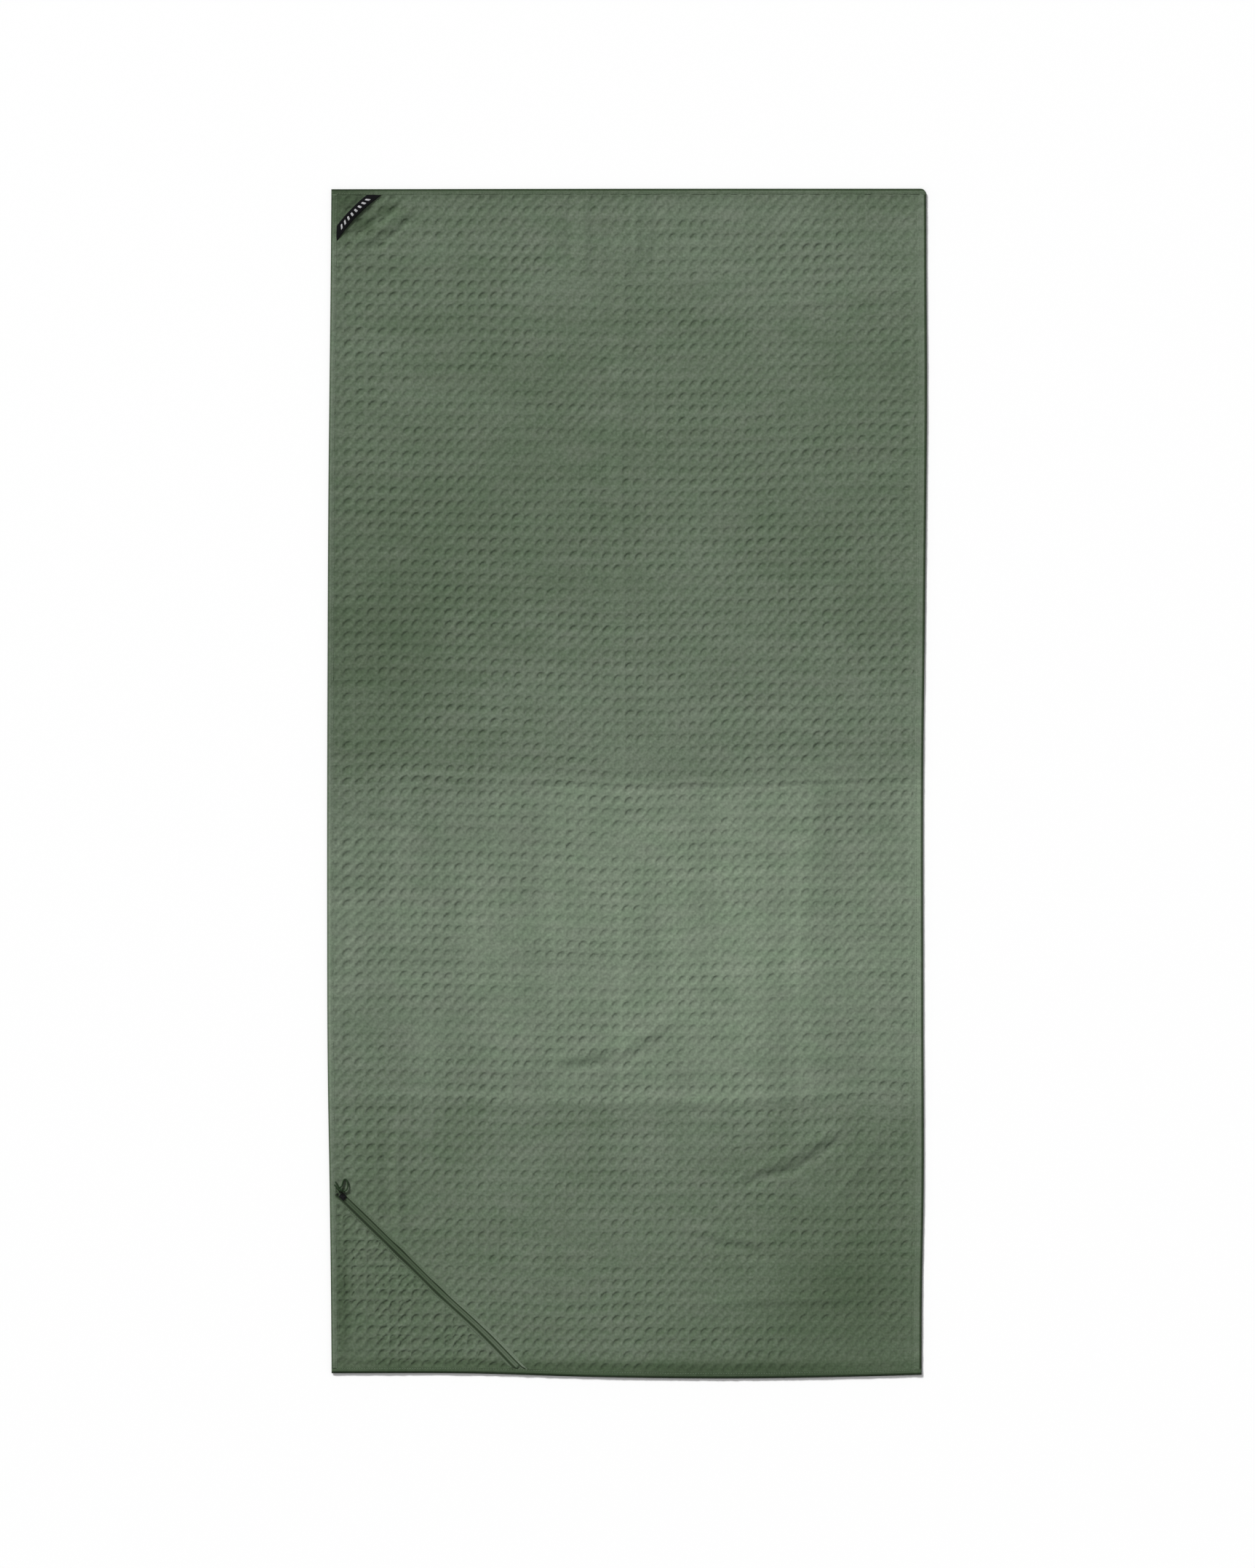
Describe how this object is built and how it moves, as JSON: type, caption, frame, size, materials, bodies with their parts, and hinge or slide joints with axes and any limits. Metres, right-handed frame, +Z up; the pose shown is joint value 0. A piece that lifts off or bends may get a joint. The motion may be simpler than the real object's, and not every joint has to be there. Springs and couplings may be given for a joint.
{
  "type": "quick dry towel",
  "caption": "Rectangular waffle-cloth towel with a hemmed border, a zipped triangular corner pocket and a tape hanging loop, folding in half across its middle.",
  "frame": {"origin": "middle of the underside of the towel lying flat, face up", "axes": "+X across the towel, +Y along it towards the end with the hanging loop, +Z up through the cloth"},
  "size_m": [0.8, 1.6, 0.0084],
  "materials": {
    "waffle_cloth": "woven waffle microfibre, sage green, matt",
    "pocket_cloth": "woven waffle microfibre, sage green, matt",
    "lining_cloth": "thin plain woven lining, sage green",
    "hem_cloth": "turned cloth edge, sage green",
    "zip_tape": "smooth woven zip tape, sage green",
    "zip_coil": "nylon coil, sage green",
    "zip_metal": "black enamel",
    "pull_cord": "braided cord, dark green",
    "loop_tape": "black woven tape",
    "thread": "spun sewing thread, sage green"
  },
  "bodies": {
    "lower_half": {"cloth_lower": "waffle_cloth", "pocket_front": "pocket_cloth", "pocket_lining": "lining_cloth", "zip_tape_upper": "zip_tape", "zip_tape_lower": "zip_tape", "zip_coil_upper": "zip_coil", "zip_coil_lower": "zip_coil", "zip_welt_upper": "waffle_cloth", "zip_welt_lower": "pocket_cloth", "zip_stitching_upper": "thread", "zip_stitching_lower": "thread", "zip_top_stops": "zip_metal", "zip_bottom_stop": "zip_metal", "hem_bottom": "hem_cloth", "hem_left_lower": "hem_cloth", "hem_right_lower": "hem_cloth", "hem_stitching_lower": "thread"},
    "upper_half": {"cloth_upper": "waffle_cloth", "hem_top": "hem_cloth", "hem_left_upper": "hem_cloth", "hem_right_upper": "hem_cloth", "hem_stitching_upper": "thread", "hang_loop_ends": "loop_tape"},
    "loop": {"hang_loop": "loop_tape"},
    "slider": {"zip_slider": "zip_metal"},
    "puller": {"pull_ring": "zip_metal", "pull_cord": "pull_cord", "pull_knot": "pull_cord"}
  },
  "joints": [
    {"name": "fold_in_half", "type": "hinge", "parent": "lower_half", "child": "upper_half", "pos_m": [0, 0, 0.0045], "axis": [1, 0, 0], "range_deg": [0, 179]},
    {"name": "loop_lift", "type": "hinge", "parent": "upper_half", "child": "loop", "pos_m": [-0.3917, 0.72859, 0.0032], "axis": [0.6925, 0.7214, 0], "range_deg": [0, 90]},
    {"name": "zip_slide", "type": "slide", "parent": "lower_half", "child": "slider", "axis": [0.7171, -0.697, 0], "range_m": [0, 0.322]},
    {"name": "pull_flip", "type": "hinge", "parent": "slider", "child": "puller", "pos_m": [-0.38332, -0.55843, 0.0046], "axis": [1, 0, 0], "range_deg": [0, 155]}
  ]
}
